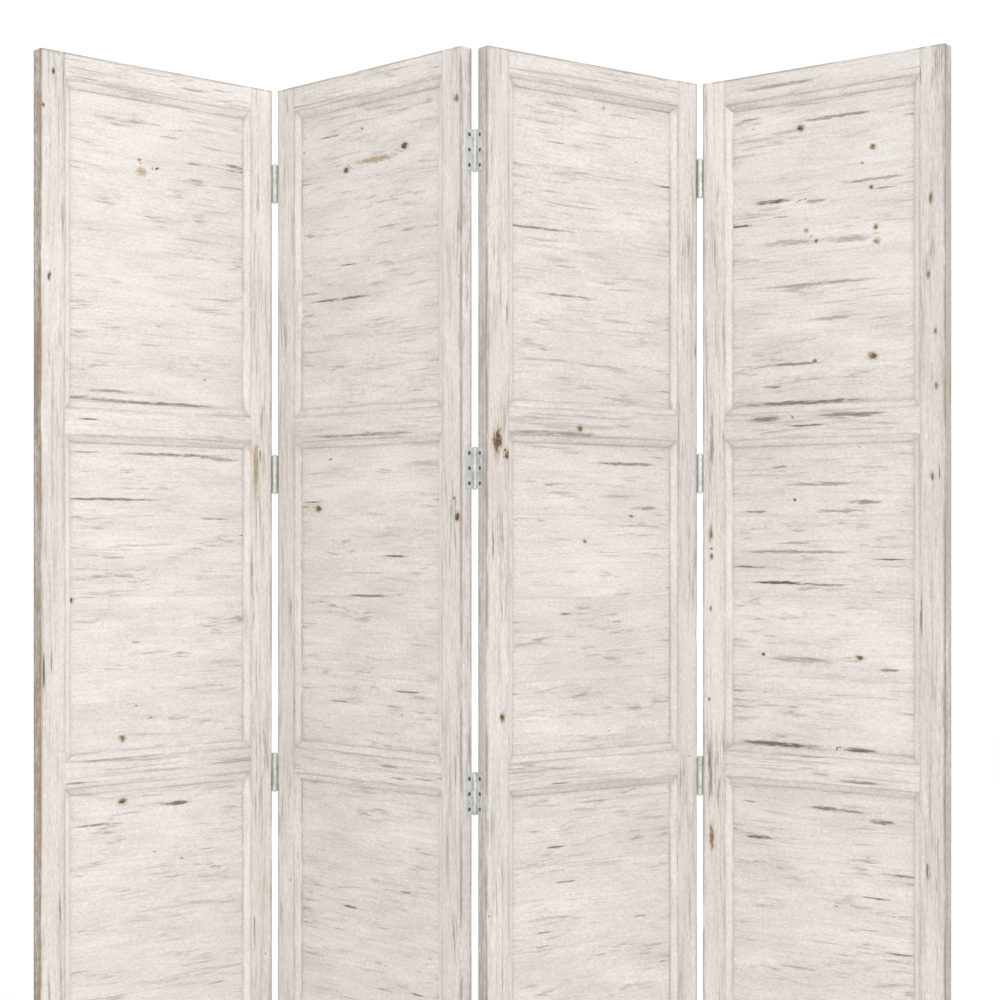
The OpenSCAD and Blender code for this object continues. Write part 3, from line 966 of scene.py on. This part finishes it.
class DIVIDER_OT_finishes(bpy.types.Operator):
    """Mixes the limewash, metal and dowel finishes"""
    bl_idname = "divider.finishes"
    bl_label = "Mix Finishes"

    def execute(self, context):
        finish = context.scene.divider_finish
        limewash_group()
        marks_group()
        edge_wear_and_shade_group()
        timber_tree()
        pine_material("Limewashed Pine Frame", coverage=0.78, streaks=1.2, lines=0.42,
                      wear_width=0.0050, grime_and_shade_width=0.006, wear=0.80, grime_and_shade=0.30, bump=0.5)
        pine_material("Limewashed Pine Panel", coverage=0.76, streaks=1.0, lines=0.22,
                      wear_width=0.0010, grime_and_shade_width=0.010, wear=0.0, grime_and_shade=0.10, bump=0.55)
        pine_material("Limewashed Pine Bead", coverage=0.73, streaks=0.6, lines=0.12,
                      wear_width=0.0010, grime_and_shade_width=0.0035, wear=0.0, grime_and_shade=0.38, bump=0.3)
        metal_material("Dull Zinc", finish.zinc, [value * 0.55 for value in finish.zinc], 0.42)
        metal_material("Screw Steel", finish.steel, [value * 0.45 for value in finish.steel], 0.38)
        dowel_material("Bare Beech", finish.dowel)
        return {"FINISHED"}


class DIVIDER_OT_stiles(bpy.types.Operator):
    """Makes the two upright stiles of each leaf"""
    bl_idname = "divider.stiles"
    bl_label = "Make Stiles"

    def execute(self, context):
        timber = context.scene.divider_timber
        for leaf in LEAVES:
            place = LeafFrame(leaf)
            runs = [place.box(f"leaf_{leaf}_{panel}") for panel in PANELS]
            swell = timber.groove_depth - TONGUE
            runs = [(low[UP] - swell, high[UP] + swell) for low, high in runs]
            for side in ("left", "right"):
                node = f"leaf_{leaf}_{side}_stile"
                arrises = (timber.outer_arris, timber.inner_arris)
                settings = {"arrises": arrises if side == "left" else arrises[::-1],
                            "step": timber.across_step,
                            "grooved": (side == "right", side == "left"),
                            "groove": groove_edges(*place.box(node))}
                piece = board_piece(f"leaf_{leaf}_{side}_stile_board", leaf, node, UP, settings,
                                    groove_runs=runs, along_step=timber.along_step,
                                    end_arris=1.0 * MM)
                brush(piece, "Limewashed Pine Frame", node, leaf, "whitewashed_pine_frame")
        return {"FINISHED"}


class DIVIDER_OT_rails(bpy.types.Operator):
    """Makes the four rails of each leaf"""
    bl_idname = "divider.rails"
    bl_label = "Make Rails"

    def execute(self, context):
        timber = context.scene.divider_timber
        for leaf in LEAVES:
            place = LeafFrame(leaf)
            for rail in RAILS:
                node = f"leaf_{leaf}_{rail}"
                top = timber.outer_arris if rail == "top_rail" else timber.inner_arris
                settings = {"arrises": (timber.inner_arris, top), "step": timber.across_step,
                            "grooved": (rail != "bottom_rail", rail != "top_rail"),
                            "groove": groove_edges(*place.box(node))}
                piece = board_piece(f"leaf_{leaf}_{rail}_board", leaf, node, ALONG, settings,
                                    along_step=timber.along_step, end_arris=0.1 * MM)
                brush(piece, "Limewashed Pine Frame", node, leaf, "whitewashed_pine_frame")
        return {"FINISHED"}


class DIVIDER_OT_panels(bpy.types.Operator):
    """Makes the three glued-up panels of each leaf"""
    bl_idname = "divider.panels"
    bl_label = "Make Panels"

    def execute(self, context):
        timber = context.scene.divider_timber
        for leaf in LEAVES:
            place = LeafFrame(leaf)
            for panel in PANELS:
                node = f"leaf_{leaf}_{panel}"
                low, high = place.box(node)
                seams = np.linspace(low[UP], high[UP], timber.panel_boards + 1)[1:-1]
                settings = {"arrises": (0.4 * MM, 0.4 * MM), "step": timber.panel_across_step,
                            "seams": tuple(seams), "seam": timber.seam}
                border = TONGUE + timber.bead_width
                piece = board_piece(f"leaf_{leaf}_{panel}_board", leaf, node, ALONG, settings,
                                    border=border, along_step=timber.panel_along_step,
                                    end_arris=0.2 * MM)
                brush(piece, "Limewashed Pine Panel", node, leaf, "whitewashed_pine_panel")
        return {"FINISHED"}


def bead_tree():
    """Geometry tree: mitred bead strips round every opening of a leaf, on both faces.

    A strip starts as a cylinder whose thirteen sides become the bead's section:
    eleven points down its bowed slope and two underneath.
    """
    # Underside Shade and Ledge Shade are painted shade on the bead strips under and on the rails.
    bench, given, out = geometry_tree("Mitred Beads", {
        "Opening Width": 0.408, "Opening Height": 0.610, "Pitch": 0.660, "Openings": 3,
        "Panel Thickness": 0.009, "Bead Width": 0.014, "Outer Height": 0.009,
        "Inner Height": 0.002, "Bow": 0.0011, "Mitre Gap": 0.0001, "Underside": 0.16,
        "Ledge": 0.08, "Tone": 0.0, "Seed": 0, "Material": "Material"})
    sides, slope = 13, 10
    width, edge = given["Bead Width"], given["Inner Height"]
    rise = bench.minus(given["Outer Height"], edge)
    strips = {}
    for label in ("Opening Width", "Opening Height"):
        length = given[label]
        bar = bench.add("GeometryNodeMeshCylinder", {"Vertices": sides, "Side Segments": 24,
                                                     "Radius": 1.0, "Depth": length})
        place = bench.parts(bench.add("GeometryNodeInputPosition").outputs[0])
        angle = bench.math("ARCTAN2", place["Y"], place["X"])
        turn = bench.math("FLOORED_MODULO", bench.plus(angle, 0.01), 2 * math.pi)
        column = bench.math("ROUND", bench.times(turn, sides / (2 * math.pi)))
        share = bench.math("DIVIDE", column, float(slope), clamp=True)
        last = bench.math("GREATER_THAN", column, slope + 1.5)
        share = bench.minus(share, last)
        under = bench.math("GREATER_THAN", column, slope + 0.5)
        bow = bench.times_plus(share, 2.0, -1.0)
        bow = bench.minus(1.0, bench.times(bow, bow))
        fall = bench.minus(1.0, share)
        height = bench.times_plus(rise, fall, edge)
        height = bench.times_plus(given["Bow"], bow, height)
        height = bench.times(height, bench.minus(1.0, under))
        across = bench.times(share, width)
        lost = bench.times(bench.plus(across, given["Mitre Gap"]), 2.0)
        mitre = bench.minus(1.0, bench.math("DIVIDE", lost, length))
        along = bench.times(bench.times(place["Z"], -1.0), mitre)
        grain = bench.xyz(along, across, height)
        where = bench.xyz(along, bench.times(height, -1.0), across)
        half = bench.times(length, 0.5)
        to_mitre = bench.minus(half, bench.math("ABSOLUTE", along))
        to_mitre = bench.minus(to_mitre, across)
        to_edge = bench.math("MINIMUM", across, bench.minus(width, across))
        joint = bench.math("MAXIMUM", bench.math("MINIMUM", to_mitre, to_edge), 0.0)
        strip = bar.outputs["Mesh"]
        for name, kind, value in (("grain", "FLOAT_VECTOR", grain), ("arris", "FLOAT", joint)):
            strip = bench.store(strip, name, kind, value)
        strips[label] = bench.add("GeometryNodeSetPosition", {"Geometry": strip,
                                                              "Position": where}).outputs[0]
    ring = []
    lift = bench.times(given["Panel Thickness"], -0.5)
    for quarter in range(4):
        label, other = "Opening Width", "Opening Height"
        if quarter % 2:
            label, other = other, label
        reach = bench.times(given[other], -0.5)
        down = bench.xyz(y=lift, z=reach)
        # The first strip lies on the lower rail and the third hangs under the upper one; both get
        # painted shade through side, the third more as it faces down.
        painted_shade = {0: given["Ledge"], 2: given["Underside"]}.get(quarter, 0.0)
        strip = bench.store(strips[label], "side", "FLOAT", painted_shade)
        strip = bench.transform(strip, translation=down)
        ring.append(bench.transform(strip, rotation=(0, quarter * math.pi / 2, 0)))
    ring = bench.join(ring)
    both = bench.join((ring, bench.transform(ring, rotation=(0, 0, math.pi))))
    climb = bench.xyz(z=given["Pitch"])
    openings = bench.add("GeometryNodeMeshLine", {"Count": given["Openings"], "Offset": climb})
    placed = bench.add("GeometryNodeInstanceOnPoints", {"Points": openings.outputs[0],
                                                        "Instance": both})
    loose = bench.add("GeometryNodeRealizeInstances", {"Geometry": placed.outputs[0]}).outputs[0]
    island = bench.add("GeometryNodeInputMeshIsland").outputs["Island Index"]
    cut = bench.add("FunctionNodeRandomValue", {"Seed": given["Seed"]}, data_type="FLOAT_VECTOR")
    cut.inputs[1].default_value = (30.0, 30.0, 30.0)
    bench.feed(cut.inputs["ID"], island)
    shade = bench.add("FunctionNodeRandomValue", {"Seed": given["Seed"]}, data_type="FLOAT")
    bench.feed(shade.inputs["ID"], island)
    tone = bench.times_plus(shade.outputs[1], 0.4, -0.2)
    tone = bench.plus(tone, given["Tone"])
    grain = bench.vector("ADD", named(bench, "grain", "FLOAT_VECTOR"), cut.outputs[0])
    for name, kind, value in (("grain", "FLOAT_VECTOR", grain), ("tone", "FLOAT", tone)):
        loose = bench.store(loose, name, kind, value)
    close_tree(bench, loose, given["Material"], out)
    return bench.tree


def screw_tree():
    """Geometry tree: a countersunk cross-recess screw on each point, each turned its own way."""
    bench, given, out = geometry_tree("Hinge Screws", {
        "Geometry": "Geometry", "Facing": "Vector", "Head Radius": 0.0038,
        "Shank Radius": 0.0019, "Head Height": 0.002, "Dome": 0.0004, "Length": 0.020,
        "Recess Width": 0.0009, "Recess Depth": 0.0010, "Seed": 0, "Material": "Material"})
    head, shank = given["Head Radius"], given["Shank Radius"]
    blank = bench.add("GeometryNodeMeshCylinder", {"Vertices": 32, "Side Segments": 8,
                                                   "Fill Segments": 3, "Radius": 1.0, "Depth": 8.0},
                      fill_type="TRIANGLE_FAN")
    place = bench.add("GeometryNodeInputPosition").outputs[0]
    split = bench.parts(place)
    level = bench.plus(split["Z"], 4.0)
    flat = bench.flat(place)
    radius = bench.vector("LENGTH", flat)
    # Levels 0 to 1 are the point, 1 to 6 the shank, 6 to 7 the countersink and 8 the dome.
    point = bench.times_plus(bench.math("MINIMUM", level, 1.0), 0.75, 0.25)
    sink = bench.minus(level, 6.0, clamp=True)
    flare = bench.minus(head, shank)
    wide = bench.times_plus(flare, sink, bench.times(shank, point))
    top = bench.minus(level, 7.0, clamp=True)
    wide = bench.times(wide, bench.times_plus(top, -0.12, 1.0))
    body = bench.minus(given["Length"], given["Head Height"])
    low = bench.times(bench.math("DIVIDE", level, 6.0, clamp=True), body)
    high = bench.times_plus(sink, given["Head Height"], low)
    bulge = bench.minus(1.0, bench.times(radius, radius))
    bulge = bench.times_plus(bulge, 0.75, 0.25)
    dome = bench.times(bench.times(top, bulge), given["Dome"])
    up = bench.minus(bench.plus(high, dome), given["Length"])
    wide_flat = bench.vector("SCALE", flat, scale=wide)
    where = bench.vector("ADD", wide_flat, bench.xyz(z=up))
    shaped = bench.add("GeometryNodeSetPosition", {"Geometry": blank.outputs["Mesh"],
                                                   "Position": where}).outputs[0]
    deep = bench.times(given["Recess Depth"], 2.0)
    size = bench.xyz(head, given["Recess Width"], deep)
    bar = bench.add("GeometryNodeMeshCube", {"Size": size}).outputs["Mesh"]
    lifted = bench.xyz(z=given["Dome"])
    cut = bench.add("GeometryNodeMeshBoolean", {"Mesh 1": shaped}, operation="DIFFERENCE")
    for turn in (0, math.pi / 2):
        cutter = bench.transform(bar, translation=lifted, rotation=(0, 0, turn))
        bench.link(cutter, cut.inputs["Mesh 2"])
    aim = bench.add("FunctionNodeAlignRotationToVector", {"Vector": given["Facing"]}, axis="Z")
    placed = bench.add("GeometryNodeInstanceOnPoints", {
        "Points": given["Geometry"], "Instance": cut.outputs["Mesh"],
        "Rotation": aim.outputs[0]}).outputs[0]
    spin = bench.add("FunctionNodeRandomValue", {"Seed": given["Seed"]}, data_type="FLOAT")
    spin.inputs[3].default_value = math.pi / 2
    turn = bench.xyz(z=spin.outputs[1])
    turned = bench.add("GeometryNodeRotateInstances", {"Instances": placed, "Rotation": turn})
    close_tree(bench, turned.outputs[0], given["Material"], out)
    return bench.tree


class DIVIDER_OT_beads(bpy.types.Operator):
    """Makes the mitred beads round every panel"""
    bl_idname = "divider.beads"
    bl_label = "Make Beads"

    def execute(self, context):
        timber = context.scene.divider_timber
        tree = bead_tree()
        for leaf in LEAVES:
            place = LeafFrame(leaf)
            rails = [place.box(f"leaf_{leaf}_{rail}") for rail in RAILS]
            low, high = place.box(f"leaf_{leaf}_lower_panel")
            left, right = rails[0][0][ALONG], rails[0][1][ALONG]
            sill, head = rails[0][1][UP], rails[1][0][UP]
            node = f"leaf_{leaf}_panel_beads"
            piece = add_object(f"leaf_{leaf}_beads", bpy.data.meshes.new("beads"))
            settle(piece, tree, {
                "Opening Width": right - left, "Opening Height": head - sill,
                "Pitch": rails[1][0][UP] - rails[0][0][UP], "Openings": len(PANELS),
                "Panel Thickness": high[AWAY] - low[AWAY], "Bead Width": timber.bead_width,
                "Outer Height": timber.bead_height, "Inner Height": timber.bead_edge,
                "Bow": timber.bead_bow, "Tone": LEAF_WASH[leaf], "Seed": leaf,
                "Material": bpy.data.materials["Limewashed Pine Bead"]})
            middle = np.array([(left + right) / 2, (low[AWAY] + high[AWAY]) / 2, (sill + head) / 2])
            spot = place.place(middle[None])[0]
            turn = Matrix([list(column) for column in place.axes.T]).to_4x4()
            piece.data.transform(Matrix.Translation(Vector(spot)) @ turn)
            shade_edges(piece, 40)
            deliver(piece, f"leaf_{leaf}", "whitewashed_pine_bead", node)
        return {"FINISHED"}


def softened_copy(name, node, material):
    """A copy of a metal CAD node with its doubles merged and its edges eased."""
    hinge = bpy.context.scene.divider_hinge
    metal = bmesh.new()
    metal.from_mesh(frame["nodes"][node].data)
    bmesh.ops.remove_doubles(metal, verts=metal.verts, dist=1e-6)
    bmesh.ops.dissolve_limit(metal, angle_limit=math.radians(0.5), verts=metal.verts,
                             edges=metal.edges)
    mesh = bpy.data.meshes.new(name)
    metal.to_mesh(mesh)
    metal.free()
    mesh.materials.clear()
    mesh.materials.append(bpy.data.materials[material])
    piece = add_object(name, mesh)
    eased = piece.modifiers.new("Eased edges", "BEVEL")
    eased.width = hinge.bevel
    eased.segments = 2
    eased.limit_method = "ANGLE"
    eased.angle_limit = math.radians(35)
    evaluated = piece.evaluated_get(bpy.context.evaluated_depsgraph_get())
    piece.data = bpy.data.meshes.new_from_object(evaluated)
    piece.modifiers.clear()
    shade_edges(piece, 40)
    return piece


class DIVIDER_OT_hinge_plates(bpy.types.Operator):
    """Makes the hinge plates and pins"""
    bl_idname = "divider.hinge_plates"
    bl_label = "Make Hinge Plates"

    def execute(self, context):
        for fold in FOLDS:
            for side, leaf in (("left", fold), ("right", fold + 1)):
                node = f"fold_{fold}_{side}_hinge_plates"
                piece = softened_copy(f"fold_{fold}_{side}_plates", node, "Dull Zinc")
                deliver(piece, f"leaf_{leaf}", "zinc_plate", node)
            node = f"fold_{fold}_hinge_pins"
            piece = softened_copy(f"fold_{fold}_pins", node, "Dull Zinc")
            deliver(piece, f"leaf_{fold}", "zinc_pin", node)
        return {"FINISHED"}


class DIVIDER_OT_hinge_screws(bpy.types.Operator):
    """Drives three screws through every hinge plate"""
    bl_idname = "divider.hinge_screws"
    bl_label = "Drive Hinge Screws"

    def execute(self, context):
        hinge = context.scene.divider_hinge
        tree = screw_tree()
        for fold in FOLDS:
            for side, leaf in (("left", fold), ("right", fold + 1)):
                node = f"fold_{fold}_{side}_screws"
                place = LeafFrame(leaf)
                low, high = place.box(node)
                outward = 1.0 if side == "left" else -1.0
                face = high[ALONG] if side == "left" else low[ALONG]
                points = [(face, (low[AWAY] + high[AWAY]) / 2, height + step * hinge.screw_pitch)
                          for height in hinge_heights(fold) for step in (-1, 0, 1)]
                mesh = bpy.data.meshes.new("screw points")
                mesh.from_pydata(place.place(np.array(points)).tolist(), [], [])
                piece = add_object(f"fold_{fold}_{side}_screw_set", mesh)
                settle(piece, tree, {
                    "Facing": place.turn(np.array([outward, 0.0, 0.0])).tolist(),
                    "Head Radius": hinge.head_radius, "Shank Radius": hinge.shank_radius,
                    "Head Height": hinge.plate_thickness, "Length": hinge.screw_length,
                    "Seed": fold * 2 + (side == "right"),
                    "Material": bpy.data.materials["Screw Steel"]})
                shade_edges(piece, 35)
                deliver(piece, f"leaf_{leaf}", "hinge_screw", node)
        return {"FINISHED"}


class DIVIDER_OT_dowels(bpy.types.Operator):
    """Gives the hidden dowels their wood"""
    bl_idname = "divider.dowels"
    bl_label = "Finish Dowels"

    def execute(self, context):
        for leaf in LEAVES:
            node = frame["nodes"][f"leaf_{leaf}_dowels"]
            for slot in node.material_slots:
                slot.material = bpy.data.materials["Bare Beech"]
        return {"FINISHED"}


class DIVIDER_OT_stage(bpy.types.Operator):
    """Sets up the floor, the light and the camera"""
    bl_idname = "divider.stage"
    bl_label = "Set Stage"

    def execute(self, context):
        stage = context.scene.divider_stage
        size = stage.floor_size / 2
        mesh = bpy.data.meshes.new("floor")
        corners = [(-size, -size, 0), (size, -size, 0), (size, size, 0), (-size, size, 0)]
        mesh.from_pydata(corners, [], [(0, 1, 2, 3)])
        add_object("floor", mesh)
        paint = bpy.data.materials.new("Pale Floor")
        paint.use_nodes = True
        shader = paint.node_tree.nodes["Principled BSDF"]
        shader.inputs["Base Color"].default_value = (*stage.floor, 1)
        shader.inputs["Roughness"].default_value = 0.9
        shader.inputs["Specular IOR Level"].default_value = 0.0
        mesh.materials.append(paint)

        world = bpy.data.worlds.new("Studio")
        context.scene.world = world
        world.use_nodes = True
        sky = world.node_tree.nodes["Background"]
        sky.inputs["Color"].default_value = (1, 1, 1, 1)
        sky.inputs["Strength"].default_value = stage.world

        # Each lamp's place, its power in watts and its size.
        for name, place, energy, width in (("key", (2.6, -2.9, 3.3), 34, 2.4),
                                           ("fill", (-2.6, -3.6, 2.6), 7, 3.0)):
            lamp = bpy.data.lights.new(name, "AREA")
            lamp.energy, lamp.size = energy, width
            light = add_object(name, lamp)
            light.location = place
            aim = Vector((0, 0, 1.1)) - Vector(place)
            light.rotation_euler = aim.to_track_quat("-Z", "Y").to_euler()

        lens = bpy.data.cameras.new("camera")
        lens.lens = stage.lens
        lens.sensor_width = 36
        lens.shift_x, lens.shift_y = stage.shift_x, stage.shift_y
        camera = add_object("camera", lens)
        camera.location = (0, -stage.camera_distance, stage.camera_height)
        camera.rotation_euler = (math.pi / 2, 0, 0)
        context.scene.camera = camera
        context.scene.view_settings.view_transform = "Standard"
        return {"FINISHED"}


# ---------------------------------------------------------------- add-on

class DIVIDER_PT_panel(bpy.types.Panel):
    """Lists the steps that build the folding screen"""
    bl_idname = "DIVIDER_PT_panel"
    bl_label = "Folding Room Divider"
    bl_space_type = "VIEW_3D"
    bl_region_type = "UI"
    bl_category = "Divider"

    def draw(self, context):
        for operator in OPERATORS:
            self.layout.operator(operator.bl_idname)
        for group in ("divider_timber", "divider_finish", "divider_hinge", "divider_stage"):
            settings = getattr(context.scene, group)
            box = self.layout.box()
            for name in settings.__annotations__:
                box.prop(settings, name)


GROUPS = {"divider_timber": DividerTimber, "divider_finish": DividerFinish,
          "divider_hinge": DividerHinge, "divider_stage": DividerStage}
OPERATORS = (DIVIDER_OT_stage, DIVIDER_OT_finishes, DIVIDER_OT_stiles, DIVIDER_OT_rails,
             DIVIDER_OT_panels, DIVIDER_OT_beads, DIVIDER_OT_hinge_plates,
             DIVIDER_OT_hinge_screws, DIVIDER_OT_dowels)


def register():
    for made in (*GROUPS.values(), *OPERATORS, DIVIDER_PT_panel):
        bpy.utils.register_class(made)
    for name, group in GROUPS.items():
        setattr(bpy.types.Scene, name, PointerProperty(type=group))


def unregister():
    for name in GROUPS:
        delattr(bpy.types.Scene, name)
    for made in reversed((*GROUPS.values(), *OPERATORS, DIVIDER_PT_panel)):
        bpy.utils.unregister_class(made)


def main():
    register()
    bpy.ops.divider.stage()
    bpy.ops.divider.finishes()
    bpy.ops.divider.stiles()
    bpy.ops.divider.rails()
    bpy.ops.divider.panels()
    bpy.ops.divider.beads()
    bpy.ops.divider.hinge_plates()
    bpy.ops.divider.hinge_screws()
    bpy.ops.divider.dowels()


if __name__ == "__main__":
    main()
